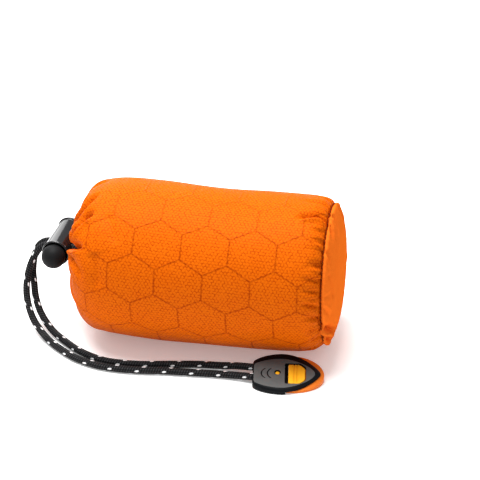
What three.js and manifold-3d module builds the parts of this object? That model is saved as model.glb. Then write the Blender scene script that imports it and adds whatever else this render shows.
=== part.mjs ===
// Emergency sleeping bag packed in its drawstring stuff sack, with cord lock and whistle.
// Millimetres, +Z up. The sack lies on its side along X: drawn mouth at -X, sewn base panel at +X,
// and the side with the whistle at -Y. The origin is under the middle of the sack, on the surface.

import * as THREE from 'three';
import { mergeVertices } from 'three/addons/utils/BufferGeometryUtils.js';
import Module from 'manifold-3d';

const wasm = await Module();
wasm.setup();

const GAP = 0.3;

// Filled sack
const SACK_SIDES = 72;
const PANEL_THICK = 1.2;
const PANEL_RIM_RADIUS = 29.2;
const PANEL_RIM_X = 51.4;
const PANEL_CROWN = 4.2;
const PANEL_ROUNDNESS = 2.6;
const PANEL_STATIONS = [0, 12, 20, 25.5, 28.8, PANEL_RIM_RADIUS];
const PANEL_FIRM_RADIUS = 20;
const PUCKER_FADE = 4;

// Even gathers: how many, how far their spacing wanders, and the share of their depth that varies
const PLEATS = { count: 13, drift: 0.8, share: 0.25 };
const PUCKERS = { count: 23, drift: 0.9, share: 0.3 };

// Drawn mouth to base seam: station, radius, height of the centre, depth of pleats and of puckers
const SACK_SECTIONS = [
  { x: -51.0, radius: 4.6, centre: 35.4, pleat: 0.0, pucker: 0.0 },
  { x: -53.2, radius: 6.4, centre: 35.2, pleat: 0.6, pucker: 0.0 },
  { x: -54.9, radius: 9.6, centre: 34.8, pleat: 1.5, pucker: 0.0 },
  { x: -55.4, radius: 13.8, centre: 34.2, pleat: 2.3, pucker: 0.0 },
  { x: -55.0, radius: 19.0, centre: 33.6, pleat: 2.6, pucker: 0.0 },
  { x: -53.2, radius: 24.1, centre: 33.0, pleat: 2.4, pucker: 0.0 },
  { x: -50.4, radius: 28.0, centre: 32.5, pleat: 1.9, pucker: 0.0 },
  { x: -46.6, radius: 30.5, centre: 32.3, pleat: 1.3, pucker: 0.0 },
  { x: -42.0, radius: 31.9, centre: 32.2, pleat: 0.8, pucker: 0.0 },
  { x: -35.0, radius: 32.7, centre: 32.2, pleat: 0.4, pucker: 0.0 },
  { x: -23.0, radius: 32.8, centre: 32.0, pleat: 0.1, pucker: 0.0 },
  { x: -7.0, radius: 32.6, centre: 31.9, pleat: 0.0, pucker: 0.0 },
  { x: 11.0, radius: 32.3, centre: 31.6, pleat: 0.0, pucker: 0.0 },
  { x: 27.0, radius: 32.1, centre: 31.3, pleat: 0.0, pucker: 0.2 },
  { x: 36.0, radius: 31.8, centre: 31.4, pleat: 0.0, pucker: 0.4 },
  { x: 42.0, radius: 31.4, centre: 31.8, pleat: 0.0, pucker: 0.8 },
  { x: 46.5, radius: 30.8, centre: 32.5, pleat: 0.0, pucker: 1.2 },
  { x: 49.5, radius: 29.8, centre: 33.2, pleat: 0.0, pucker: 1.4 },
];
const BASE_CENTRE = 33.2;
const BASE_PUCKER = 1.2;

// Main folds that stand out from the even gathers: place round the sack (0 is +Y, 90 is the top),
// width, and depth as a share of that end's gathers
const MOUTH_FOLDS = [
  { turnDeg: 62, widthDeg: 6, depth: 0.7 },
  { turnDeg: 109, widthDeg: 7, depth: 1.3 },
  { turnDeg: 148, widthDeg: 6, depth: 0.8 },
  { turnDeg: 190, widthDeg: 8, depth: 1.0 },
  { turnDeg: 243, widthDeg: 7, depth: 0.8 },
  { turnDeg: 318, widthDeg: 8, depth: 0.9 },
];
const BASE_FOLDS = [
  { turnDeg: 40, widthDeg: 6, depth: 0.9 },
  { turnDeg: 107, widthDeg: 6, depth: 1.4 },
  { turnDeg: 147, widthDeg: 5, depth: 1.2 },
  { turnDeg: 177, widthDeg: 5, depth: 0.8 },
  { turnDeg: 212, widthDeg: 8, depth: 0.9 },
  { turnDeg: 300, widthDeg: 7, depth: 0.8 },
];

// Cord lock: a hollow barrel lying across the mouth, its ball button toward -Y
const LOCK_CENTRE = new THREE.Vector3(-63.2, 0, 35.6);
const LOCK_RISE_DEG = 4;
const LOCK_TURN_DEG = -2.5;
const BARREL_RADIUS = 5.65;
const BARREL_END_RADIUS = 5.0;
const BARREL_LENGTH = 18.6;
const BARREL_FLANGE_RADIUS = 5.5;
const BARREL_FLANGE_THICK = 1.2;
const BARREL_MOUTH_RADIUS = 5.25;
const BARREL_MOUTH_DEPTH = 6.4;
const BARREL_BORE_RADIUS = 4.3;
const BARREL_END_THICK = 1.5;
const LIP_STANDS_OUT = 0.25;
const LIP_LENGTH = 0.9;
const PLASTIC_EDGE = 0.5;
const BALL_RADIUS = 4.95;
const BALL_STANDS_OUT = 2.2;
const BALL_STEPS = 10;
const STEM_RADIUS = 3.9;
const STEM_END = 13.3;
const BUTTON_CLEARANCE = 0.1;
const LOCK_SIDES = 32;
const CORD_AT_NEAR = 6.4;
const CORD_AT_FAR = 9.7;
const CORD_SLOT_HEIGHT = 3.8;
const BUTTON_TRAVEL = 3;

// Whistle: keeled underside that lies over on its near half
const WHISTLE_REAR = new THREE.Vector3(23.8, -33.6, 0.02);
const WHISTLE_TURN_DEG = 8.5;
const WHISTLE_KEEL_DEG = 10;
const WHISTLE_HEIGHT = 4.4;
const COVER_UNDERSIDE = 2.7;
const COVER_BEVEL = 2.8;
const COVER_BEVEL_HEIGHT = 0.9;
const HOUSING_LENGTH = 13.6;
const WINDOW_REAR = 12.9;
const WINDOW_FRONT = 21.4;
const WINDOW_HALF = 6.2;
const WINDOW_CORNER = 2.4;
const WINDOW_REAR_CORNER = 0.5;
const BLOCK_TOP = 4.2;
const BLOCK_CLEARANCE = 0.5;
const SIGHT_HOLE_AT = 10.3;
const SIGHT_HOLE_RADIUS = 1.3;
const TONGUE_REAR = 7.8;
const TONGUE_HALF = 2.6;
const TONGUE_UNDERSIDE = 1.2;

// How far the whistle's cutting shapes reach past it: to each side, along it, and up or down
const PAST_SIDE = 14;
const PAST_LENGTH = 40;
const PAST_HEIGHT = 20;
const PAST_FACE = 1;

// Half widths of the whistle along its length: the black cover, and the orange body that shows past it
const COVER_OUTLINE = [
  { along: 0.0, half: 5.9 },
  { along: 0.9, half: 7.1 },
  { along: 4.4, half: 9.2 },
  { along: 8.6, half: 10.4 },
  { along: 12.4, half: 10.7 },
  { along: 16.6, half: 9.8 },
  { along: 20.6, half: 7.6 },
  { along: 24.0, half: 4.7 },
  { along: 26.4, half: 1.9 },
  { along: 27.2, half: 0.0 },
];
const BODY_OUTLINE = [
  { along: 10.0, half: 9.7 },
  { along: 17.0, half: 10.1 },
  { along: 21.0, half: 9.3 },
  { along: 24.6, half: 7.2 },
  { along: 27.0, half: 4.6 },
  { along: 28.3, half: 2.1 },
  { along: 28.6, half: 0.0 },
];

// Drawcord
const CORD_DIAMETER = 3;
const CORD_QUARTERS = 4;
const CORD_STEPS = 34;
const CORD_NEAR_ROUTE = [
  [-51.3, -2.0, 35.46],
  [-57.2, -1.9, 35.48],
  [-63.2, -1.65, 35.48],
  [-68.9, -1.42, 35.4],
  [-71.8, -1.75, 33.8],
  [-74.3, -2.6, 30.2],
  [-76.3, -3.7, 25.4],
  [-77.3, -5.3, 20.3],
  [-77.2, -7.6, 15.4],
  [-75.8, -10.4, 10.8],
  [-73.1, -13.8, 6.6],
  [-68.9, -17.6, 3.4],
  [-64.1, -22.0, 1.9],
  [-58.5, -26.8, 1.6],
  [-48.5, -34.4, 1.6],
  [-37.6, -38.8, 1.6],
  [-24.7, -39.6, 1.6],
  [-12.1, -37.6, 1.6],
  [-1.1, -36.6, 1.6],
  [9.9, -36.4, 1.6],
  [16.9, -36.8, 1.8],
  [23.7, -37.2, 2.2],
];
const CORD_FAR_ROUTE = [
  [-51.3, 1.4, 35.7],
  [-57.2, 1.45, 35.72],
  [-63.2, 1.65, 35.72],
  [-68.6, 1.85, 35.6],
  [-71.3, 1.8, 34.9],
  [-73.6, 1.4, 32.9],
  [-75.0, 0.7, 29.8],
  [-75.7, -0.4, 25.6],
  [-75.8, -1.6, 21.4],
  [-75.3, -2.6, 17.6],
  [-74.2, -5.2, 12.8],
  [-72.1, -8.2, 8.6],
  [-68.7, -11.6, 5.0],
  [-64.5, -15.2, 2.5],
  [-59.3, -19.6, 1.68],
  [-48.1, -28.4, 1.6],
  [-36.9, -32.6, 1.6],
  [-23.5, -32.4, 1.6],
  [-11.1, -30.6, 1.6],
  [1.3, -28.9, 1.6],
  [9.9, -28.6, 1.8],
  [16.5, -29.1, 2.8],
  [22.45, -30.0, 3.7],
];

const ORANGE_FABRIC = { color: 0xe8720f, roughness: 0.7, metalness: 0 };
const BLACK_CORD = { color: 0x151515, roughness: 0.8, metalness: 0 };
const BLACK_PLASTIC = { color: 0x2a2b2c, roughness: 0.45, metalness: 0 };
const ORANGE_PLASTIC = { color: 0xf58420, roughness: 0.4, metalness: 0 };

function toSolid(geometry) {
  const bare = geometry.clone();
  bare.deleteAttribute('normal');
  bare.deleteAttribute('uv');
  const merged = mergeVertices(bare, 1e-4);
  return new wasm.Manifold(new wasm.Mesh({
    numProp: 3,
    vertProperties: new Float32Array(merged.attributes.position.array),
    triVerts: new Uint32Array(merged.index.array),
  }));
}

function toGeometry(solid) {
  const mesh = solid.getMesh();
  const geometry = new THREE.BufferGeometry();
  geometry.setAttribute('position', new THREE.BufferAttribute(new Float32Array(mesh.vertProperties), 3));
  geometry.setIndex(new THREE.BufferAttribute(new Uint32Array(mesh.triVerts), 1));
  geometry.computeVertexNormals();
  return geometry;
}

function part(name, geometry, finish) {
  const mesh = new THREE.Mesh(geometry, new THREE.MeshStandardMaterial(finish));
  mesh.name = name;
  return mesh;
}

// A block given by its lowest and highest corners
function block(low, high) {
  const geometry = new THREE.BoxGeometry(high[0] - low[0], high[1] - low[1], high[2] - low[2]);
  geometry.translate((low[0] + high[0]) / 2, (low[1] + high[1]) / 2, (low[2] + high[2]) / 2);
  return toSolid(geometry);
}

// Uneven gathers: a rounded lobe between sharp valleys, 0 on the lobe and down to -1 in the valley.
// Their spacing wanders three times round the sack, and their depth varies five times
function gathers(turn, { count, drift, share }) {
  const wave = Math.abs(Math.cos((count * turn) / 2 + drift * Math.sin(3 * turn + 0.5)));
  const uneven = 1 - share + share * Math.sin(5 * turn + 1.3);
  return -(1 - wave) * uneven;
}

function mainFolds(turn, folds) {
  return folds.reduce((sum, fold) => {
    const away = THREE.MathUtils.euclideanModulo(THREE.MathUtils.radToDeg(turn) - fold.turnDeg + 180, 360) - 180;
    return sum - fold.depth * Math.exp(-((away / fold.widthDeg) ** 2));
  }, 0);
}

function foldDepth(row, turn) {
  const mouth = gathers(turn, PLEATS) + mainFolds(turn, MOUTH_FOLDS);
  const base = gathers(turn, PUCKERS) + mainFolds(turn, BASE_FOLDS);
  return row.pleat * mouth + row.pucker * base;
}

// Height of the base panel's outer face over its rim
function baseCrown(radius) {
  const share = Math.min(1, radius / PANEL_RIM_RADIUS);
  return PANEL_CROWN * (1 - share ** PANEL_ROUNDNESS);
}

// Sets turned points into the sack's form: own centre height, folds, and a flat spot on the surface
function lieDown(rows) {
  const outline = rows.map((row) => new THREE.Vector2(row.radius, row.x));
  const geometry = new THREE.LatheGeometry(outline, SACK_SIDES);
  const position = geometry.attributes.position;
  const ring = outline.length;
  for (let i = 0; i < position.count; i += 1) {
    const row = rows[i % ring];
    const turn = (2 * Math.PI * (Math.floor(i / ring) % SACK_SIDES)) / SACK_SIDES;
    const radius = Math.max(0, row.radius + foldDepth(row, turn));
    const height = row.centre + radius * Math.sin(turn);
    position.setXYZ(i, row.x, radius * Math.cos(turn), Math.max(0, height));
  }
  return geometry;
}

// A ring of the base panel, or of what lies under it, this far below the panel's outer face
function panelRow(radius, drop) {
  const firm = radius <= PANEL_FIRM_RADIUS;
  return {
    x: PANEL_RIM_X + baseCrown(radius) - drop,
    radius,
    centre: BASE_CENTRE,
    pleat: 0,
    pucker: firm ? 0 : BASE_PUCKER * (radius / PANEL_RIM_RADIUS) ** PUCKER_FADE,
  };
}

function sackBody() {
  const mouthFloor = { ...SACK_SECTIONS[0], radius: 0 };
  const underPanel = PANEL_STATIONS.map((radius) => panelRow(radius, PANEL_THICK + GAP)).reverse();
  return lieDown([mouthFloor, ...SACK_SECTIONS, ...underPanel]);
}

function basePanel() {
  const under = PANEL_STATIONS.map((radius) => panelRow(radius, PANEL_THICK));
  const outer = PANEL_STATIONS.map((radius) => panelRow(radius, 0)).reverse();
  return lieDown([...under, ...outer]);
}

function cord(route) {
  const points = route.map((p) => new THREE.Vector3(...p));
  const section = new THREE.Shape();
  section.absarc(0, 0, CORD_DIAMETER / 2, 0, 2 * Math.PI, false);
  return new THREE.ExtrudeGeometry(section, {
    steps: CORD_STEPS,
    curveSegments: CORD_QUARTERS,
    bevelEnabled: false,
    extrudePath: new THREE.CatmullRomCurve3(points, false, 'centripetal'),
  });
}

// A turned piece of the cord lock: outline as [radius, distance from the barrel's mouth]
function turned(outline) {
  return new THREE.LatheGeometry(outline.map(([radius, along]) => new THREE.Vector2(radius, along)), LOCK_SIDES);
}

// The slot that both strands pass through, from the near strand's side to the far strand's
function cordSlot(halfWidth, nearSpare) {
  const room = CORD_DIAMETER / 2 + GAP;
  return block(
    [-halfWidth, CORD_AT_NEAR - room - nearSpare, -CORD_SLOT_HEIGHT / 2],
    [halfWidth, CORD_AT_FAR + room, CORD_SLOT_HEIGHT / 2],
  );
}

function lockBarrel() {
  const end = BARREL_LENGTH;
  const bead = PLASTIC_EDGE / 2;
  const shell = toSolid(turned([
    [0, end - BARREL_END_THICK],
    [BARREL_BORE_RADIUS, end - BARREL_END_THICK],
    [BARREL_BORE_RADIUS, BARREL_MOUTH_DEPTH],
    [BARREL_MOUTH_RADIUS, BARREL_MOUTH_DEPTH - PLASTIC_EDGE],
    [BARREL_MOUTH_RADIUS, 0],
    [BARREL_RADIUS, 0],
    [BARREL_RADIUS + LIP_STANDS_OUT, LIP_LENGTH / 2],
    [BARREL_RADIUS, LIP_LENGTH],
    [BARREL_END_RADIUS, end - BARREL_FLANGE_THICK],
    [BARREL_FLANGE_RADIUS, end - BARREL_FLANGE_THICK + bead],
    [BARREL_FLANGE_RADIUS, end - bead],
    [BARREL_FLANGE_RADIUS - PLASTIC_EDGE, end],
    [0, end],
  ]));
  return toGeometry(shell.subtract(cordSlot(BARREL_FLANGE_RADIUS + PAST_FACE, 0)));
}

function lockPlunger() {
  const outline = [];
  const stemTurn = Math.PI - Math.asin(STEM_RADIUS / BALL_RADIUS);
  for (let i = 0; i <= BALL_STEPS; i += 1) {
    const turn = (stemTurn * i) / BALL_STEPS;
    outline.push([i === 0 ? 0 : BALL_RADIUS * Math.sin(turn), -BALL_STANDS_OUT - BALL_RADIUS * Math.cos(turn)]);
  }
  outline.push([STEM_RADIUS, STEM_END - PLASTIC_EDGE], [STEM_RADIUS - PLASTIC_EDGE, STEM_END], [0, STEM_END]);
  const slot = cordSlot(STEM_RADIUS + PAST_FACE, BUTTON_TRAVEL + BUTTON_CLEARANCE);
  return toGeometry(toSolid(turned(outline)).subtract(slot));
}

// Plan outline, both sides, from a table of half widths that ends in a point
function planShape(rows) {
  const near = rows.map((row) => new THREE.Vector2(row.along, -row.half));
  const far = rows.slice(0, -1).map((row) => new THREE.Vector2(row.along, row.half)).reverse();
  return new THREE.Shape([...near, ...far]);
}

function prism(shape, low, high) {
  const geometry = new THREE.ExtrudeGeometry(shape, { depth: high - low, bevelEnabled: false });
  geometry.translate(0, 0, low);
  return toSolid(geometry);
}

// Everything above the keeled underside
function aboveKeel() {
  const rise = PAST_SIDE * Math.tan(THREE.MathUtils.degToRad(WHISTLE_KEEL_DEG));
  const section = new THREE.Shape([
    new THREE.Vector2(-PAST_SIDE, rise),
    new THREE.Vector2(0, 0),
    new THREE.Vector2(PAST_SIDE, rise),
    new THREE.Vector2(PAST_SIDE, PAST_HEIGHT),
    new THREE.Vector2(-PAST_SIDE, PAST_HEIGHT),
  ]);
  const geometry = new THREE.ExtrudeGeometry(section, { depth: PAST_LENGTH, bevelEnabled: false });
  geometry.rotateX(Math.PI / 2);
  geometry.rotateZ(Math.PI / 2);
  geometry.translate(-PAST_FACE, 0, 0);
  return toSolid(geometry);
}

function windowShape(shrink) {
  const rear = WINDOW_REAR + shrink;
  const front = WINDOW_FRONT - shrink;
  const half = WINDOW_HALF - shrink;
  const cut = WINDOW_REAR_CORNER;
  return new THREE.Shape([
    new THREE.Vector2(rear, -half + cut),
    new THREE.Vector2(rear + cut, -half),
    new THREE.Vector2(front - WINDOW_CORNER, -half),
    new THREE.Vector2(front, -half + WINDOW_CORNER),
    new THREE.Vector2(front, half - WINDOW_CORNER),
    new THREE.Vector2(front - WINDOW_CORNER, half),
    new THREE.Vector2(rear + cut, half),
    new THREE.Vector2(rear, half - cut),
  ]);
}

function sightHole() {
  const shape = new THREE.Shape();
  shape.absarc(SIGHT_HOLE_AT, 0, SIGHT_HOLE_RADIUS, 0, 2 * Math.PI, false);
  return prism(shape, COVER_UNDERSIDE - PAST_FACE, WHISTLE_HEIGHT + PAST_FACE);
}

function whistleCover() {
  const top = new THREE.ExtrudeGeometry(planShape(COVER_OUTLINE), {
    depth: WHISTLE_HEIGHT + PAST_FACE,
    bevelEnabled: true,
    bevelSegments: 2,
    bevelSize: COVER_BEVEL,
    bevelThickness: COVER_BEVEL_HEIGHT,
    bevelOffset: -COVER_BEVEL,
  });
  top.translate(0, 0, -PAST_FACE - COVER_BEVEL_HEIGHT);
  const frontRoom = block([HOUSING_LENGTH, -PAST_SIDE, -PAST_FACE], [PAST_LENGTH, PAST_SIDE, COVER_UNDERSIDE]);
  const tongueRoom = block(
    [TONGUE_REAR - GAP, -TONGUE_HALF - GAP, TONGUE_UNDERSIDE - GAP],
    [HOUSING_LENGTH + PAST_FACE, TONGUE_HALF + GAP, COVER_UNDERSIDE],
  );
  const window = prism(windowShape(0), COVER_UNDERSIDE - PAST_FACE, WHISTLE_HEIGHT + PAST_FACE);
  return toGeometry(toSolid(top)
    .intersect(aboveKeel())
    .subtract(frontRoom)
    .subtract(tongueRoom)
    .subtract(window)
    .subtract(sightHole()));
}

function whistleBody() {
  const top = COVER_UNDERSIDE - GAP;
  const front = block([HOUSING_LENGTH + GAP, -PAST_SIDE, -PAST_FACE], [PAST_LENGTH, PAST_SIDE, PAST_HEIGHT]);
  const plate = prism(planShape(BODY_OUTLINE), -PAST_FACE, top).intersect(front);
  const raised = prism(windowShape(BLOCK_CLEARANCE), top - BLOCK_CLEARANCE, BLOCK_TOP);
  const tongue = block(
    [TONGUE_REAR, -TONGUE_HALF, TONGUE_UNDERSIDE],
    [HOUSING_LENGTH + PAST_FACE, TONGUE_HALF, top],
  );
  return toGeometry(plate.add(raised).add(tongue).intersect(aboveKeel()));
}

const model = new THREE.Group();
model.add(part('sack_body', sackBody(), ORANGE_FABRIC));
model.add(part('base_panel', basePanel(), ORANGE_FABRIC));
model.add(part('cord_near', cord(CORD_NEAR_ROUTE), BLACK_CORD));
model.add(part('cord_far', cord(CORD_FAR_ROUTE), BLACK_CORD));

const lock = new THREE.Group();
lock.position.copy(LOCK_CENTRE);
lock.rotation.set(THREE.MathUtils.degToRad(LOCK_RISE_DEG), 0, THREE.MathUtils.degToRad(LOCK_TURN_DEG), 'ZYX');
const lockPieces = new THREE.Group();
lockPieces.position.y = -(CORD_AT_NEAR + CORD_AT_FAR) / 2;
lockPieces.add(part('lock_barrel', lockBarrel(), BLACK_PLASTIC));
lockPieces.add(part('lock_plunger', lockPlunger(), BLACK_PLASTIC));
lock.add(lockPieces);
model.add(lock);

const whistle = new THREE.Group();
whistle.position.copy(WHISTLE_REAR);
whistle.rotation.set(
  THREE.MathUtils.degToRad(WHISTLE_KEEL_DEG),
  0,
  THREE.MathUtils.degToRad(WHISTLE_TURN_DEG),
  'ZYX',
);
whistle.add(part('whistle_cover', whistleCover(), BLACK_PLASTIC));
whistle.add(part('whistle_body', whistleBody(), ORANGE_PLASTIC));
model.add(whistle);

export default model;
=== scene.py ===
import math

import bmesh
import bpy
import numpy as np
from mathutils import Matrix, Vector


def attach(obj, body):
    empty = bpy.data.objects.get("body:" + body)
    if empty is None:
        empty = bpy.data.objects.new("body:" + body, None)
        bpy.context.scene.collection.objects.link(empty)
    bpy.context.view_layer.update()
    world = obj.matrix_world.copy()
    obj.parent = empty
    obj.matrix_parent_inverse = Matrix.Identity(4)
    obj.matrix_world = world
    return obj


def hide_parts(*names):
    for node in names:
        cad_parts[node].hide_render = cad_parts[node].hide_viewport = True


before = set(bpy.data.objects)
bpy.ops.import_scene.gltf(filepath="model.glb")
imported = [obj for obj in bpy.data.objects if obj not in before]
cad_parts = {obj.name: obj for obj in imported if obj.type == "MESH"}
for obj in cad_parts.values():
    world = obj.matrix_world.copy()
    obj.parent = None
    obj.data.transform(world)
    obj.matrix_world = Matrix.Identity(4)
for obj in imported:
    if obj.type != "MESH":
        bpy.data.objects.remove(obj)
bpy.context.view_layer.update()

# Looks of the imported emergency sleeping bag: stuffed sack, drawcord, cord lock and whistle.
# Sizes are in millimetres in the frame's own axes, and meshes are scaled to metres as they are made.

MM = 0.001
FULL_TURN = 2 * math.pi

# Camera, at the photograph's angle
CAMERA_AT = (119.6, -570.7, 353.5)
CAMERA_AIM = (8.1, 23.5, 32.0)
CAMERA_LENS = 121.4

# Drawcord; FLECK_TURN and FLECK_START are parts of a turn round the cord
CORD_DIAMETER = 3.0
CORD_SIDES = 40
CORD_STEP = 0.25
CORD_INTO_WHISTLE = 1.6
CORD_LOWEST = 0.02
BRAID_YARNS = 8
BRAID_PITCH = 9.6
BRAID_RELIEF = 0.13
# Painted highlight on the yarn tops: its length along the cord and its lean round it
BRAID_HIGHLIGHT_PITCH = 1.05
BRAID_HIGHLIGHT_LEAN = 3
FLECKS_FROM = 15.0
FLECK_SPACING = 2.75
FLECK_TURN = -0.25
FLECK_START = -0.1
FLECK_LEAN = 0.6
FLECK_LENGTH = 1.7
FLECK_WIDTH = 0.9
CORD_NEAR_ROUTE = [
    (-51.3, -2.0, 35.46), (-57.2, -1.9, 35.48), (-63.2, -1.65, 35.48), (-68.9, -1.42, 35.4),
    (-71.8, -1.75, 33.8), (-74.3, -2.6, 30.2), (-76.3, -3.7, 25.4), (-77.3, -5.3, 20.3),
    (-77.2, -7.6, 15.4), (-75.8, -10.4, 10.8), (-73.1, -13.8, 6.6), (-68.9, -17.6, 3.4),
    (-64.1, -22.0, 1.9), (-58.5, -26.8, 1.6), (-48.5, -33.6, 1.6), (-37.6, -37.2, 1.6),
    (-24.7, -37.6, 1.6), (-12.1, -36.0, 1.6), (-1.1, -35.1, 1.6), (9.9, -34.3, 1.6),
    (16.9, -34.4, 1.9), (23.7, -35.05, 2.5),
]
CORD_FAR_ROUTE = [
    (-51.3, 1.4, 35.7), (-57.2, 1.45, 35.72), (-63.2, 1.65, 35.72), (-68.6, 1.85, 35.6),
    (-71.3, 1.8, 34.9), (-73.6, 1.4, 32.9), (-75.0, 0.7, 29.8), (-75.7, -0.4, 25.6),
    (-75.8, -1.6, 21.4), (-75.3, -2.6, 17.6), (-74.2, -5.2, 12.8), (-72.1, -8.2, 8.6),
    (-68.7, -11.6, 5.0), (-64.5, -15.2, 2.5), (-59.3, -19.6, 1.68), (-48.1, -28.4, 1.6),
    (-36.9, -33.0, 1.6), (-23.5, -33.2, 1.6), (-11.1, -30.9, 1.6), (1.3, -28.6, 1.6),
    (9.9, -28.2, 1.8), (16.5, -28.8, 2.8), (22.45, -30.0, 3.7),
]

# Sack: side panel from inside the drawn mouth, over its rim, to the base seam
SACK_COLUMNS = 200
SACK_SPACING = 1.12
FLAT_SPOT_EDGE = 0.3
SIDE_SEAM_DEG = -58
NECK_LENGTH = 6.0
NECK_HEIGHT = 0.58
NECK_END_X = -49.8
SIDE_PROFILE = [
    # x, radius, height of the centre
    (-50.2, 3.9, 35.5), (-52.2, 4.2, 35.5), (-53.8, 5.6, 35.3), (-54.8, 8.6, 34.9),
    (-55.0, 13.0, 34.3), (-54.4, 18.6, 33.6), (-52.6, 23.8, 33.0), (-49.9, 27.7, 32.5),
    (-46.3, 30.2, 32.3), (-42.0, 31.6, 32.2), (-35.0, 32.4, 32.2), (-23.0, 32.6, 32.0),
    (-7.0, 32.4, 31.9), (11.0, 32.4, 31.8), (27.0, 32.6, 31.8), (36.0, 32.6, 32.0),
    (42.0, 32.3, 32.3), (46.3, 31.4, 32.8), (49.2, 29.7, 33.2), (50.2, 28.2, 33.2),
]

# Base panel: a domed round of cloth, sewn on inside a rolled edge
BASE_CENTRE = 33.2
BASE_LEAN = 0.021
BASE_LEAN_FROM = 20
PANEL_COLUMNS = 180
PANEL_SPACING = 0.9
PANEL_BACK_X = 50.3
PANEL_PROFILE = [
    # x, radius
    (50.5, 27.9), (51.1, 28.6), (51.8, 28.5), (52.6, 26.9), (53.3, 24.0), (53.9, 19.5),
    (54.3, 13.0), (54.6, 6.0), (54.7, 0.6),
]
PANEL_FOLDS = [
    # width, depth, raised side, then the way it runs as turn and distance from the seam
    (1.2, 2.86, 1.08, (97, 0.4), (100, 5), (106, 11)),
    (0.9, 2.08, -0.72, (108, 0.4), (113, 3), (121, 6)),
    (0.8, 0.78, 0.36, (133, 0.4), (139, 4), (148, 8)),
    (1.4, 1.04, 0.0, (150, 5), (165, 9), (184, 11)),
    (0.9, 0.78, -0.36, (178, 0.4), (186, 4), (199, 7)),
    (1.2, 3.38, 1.68, (199, 0.4), (212, 5), (234, 7), (258, 6)),
    (1.1, 2.86, 1.32, (215, 0.4), (232, 3), (256, 3.4)),
    (1.1, 1.69, 0.72, (286, 0.4), (292, 5), (302, 10)),
    (0.9, 1.3, -0.36, (318, 0.4), (314, 4), (304, 8)),
    (1.1, 1.69, 0.6, (2, 0.4), (354, 6), (342, 12)),
    (0.9, 1.3, 0.36, (34, 0.4), (38, 5), (47, 9)),
    (1.2, 1.69, -0.6, (70, 0.4), (62, 6), (50, 11)),
]

# Stitching of the base seam
STITCH_COUNT = 84
STITCH_LENGTH = 1.5
THREAD_RADIUS = 0.2
THREAD_SIDES = 6
THREAD_SHAPE = [(0, 0.35), (0.12, 0.85), (0.5, 1.0), (0.88, 0.85), (1, 0.35)]
SEAM_X = 50.35
SEAM_RADIUS = 28.45

# Cord lock, turned about its barrel's axis; places along it start at the barrel's mouth
LOCK_CENTRE = (-63.2, 0.0, 35.6)
LOCK_RISE_DEG = 4
LOCK_TURN_DEG = -2.5
LOCK_SHIFT = -8.05
LOCK_SIDES = 96
BARREL_CORNER = 0.25
BARREL_OUTLINE = [
    # radius, place along the axis
    (0, 19.4), (4.3, 19.4), (4.3, 6.4), (5.2, 5.9), (5.2, 0), (5.6, 0), (5.9, 0.45), (5.62, 1.0),
    (5.0, 19.6), (5.5, 19.8), (5.5, 20.6), (5.1, 20.9), (0, 20.9),
]
BALL_RADIUS = 4.95
BALL_STANDS_OUT = 2.2
BALL_STEPS = 28
STEM_RADIUS = 3.9
STEM_END = 13.3
SLOT_NEAR = 4.6
SLOT_FAR = 11.5
SLOT_HEIGHT = 3.8
SLOT_REACH = 8
BUTTON_TRAVEL = 3.1

# Rounded edges of moulded pieces
CORNER_STEPS = 3
MOULDED_EDGE = 0.14
ROUNDED_FROM_DEG = 32
SHARP_FROM_DEG = 38

# Whistle, lying over on the near half of its keeled underside; places run along it from its rear
WHISTLE_REAR = (23.8, -33.1, 0.02)
WHISTLE_TURN_DEG = 8.5
WHISTLE_KEEL_DEG = 10
WHISTLE_HEIGHT = 4.4
WHISTLE_SPACING = 0.45
WHISTLE_PAST_SIDE = 14
WHISTLE_PAST_FRONT = 40
WHISTLE_BELOW = -1
COVER_SHOULDER = 3.5
COVER_UNDERSIDE = 3.1
FACE_SHIFT = -1.0
COVER_FAR_SIDE = 1.07
BODY_FAR_SIDE = 1.14
SILL_LENGTH = 14.3
SILL_HALF = 6.9
SILL_TOP = 2.3
HOUSING_LENGTH = 13.2
WINDOW_REAR = 12.9
WINDOW_FRONT = 21.4
WINDOW_HALF = 5.9
WINDOW_CORNER = 2.2
SIGHT_HOLE = (10.0, -0.4)
SIGHT_HOLE_RADIUS = 1.3
FACE_TOP_LAYER = 0.06
GROOVE_CENTRES = {"groove_rear": 6.6, "groove_front": 9.0}
GROOVE_RADIUS = 3.3
GROOVE_WIDTH = 0.55
GROOVE_DEPTH = 0.35
TONGUE_REAR = 7.5
TONGUE_HALF = 2.9
TONGUE_FROM = 0.8
FITTING_GAP = 0.3
WINDOW_GAP = 0.45
BLOCK_TOP = 4.15
BLOCK_REAR_GAP = 1.0
BLOCK_RIBS = [(16.4, 0.55), (17.6, 0.4)]
BLOCK_RIB_DEPTH = 0.35
PLUG_FROM = 1.2
PLUG_TOP = 3.95
PLUG_RADIUS = 0.85
COVER_OUTLINE = [
    # along, half width
    (0.0, 4.9), (0.3, 6.3), (1.3, 7.4), (4.4, 9.2), (8.6, 10.4), (12.4, 10.7), (16.6, 9.8),
    (20.6, 7.6), (24.0, 4.7), (26.3, 2.0), (27.1, 0.6), (27.2, 0.0),
]
FACE_OUTLINE = [
    # along, half width
    (0.6, 4.2), (1.0, 5.2), (2.0, 5.8), (4.8, 7.0), (8.6, 7.9), (12.4, 8.1), (16.2, 7.2),
    (19.6, 5.6), (22.2, 3.9), (23.9, 2.1), (24.6, 0.8), (24.7, 0.0),
]
BODY_OUTLINE = [
    # along, half width
    (10.0, 9.1), (17.0, 9.5), (21.0, 8.7), (24.6, 6.8), (27.0, 4.5), (28.2, 2.3), (28.6, 0.8),
    (28.65, 0.0),
]

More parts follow.
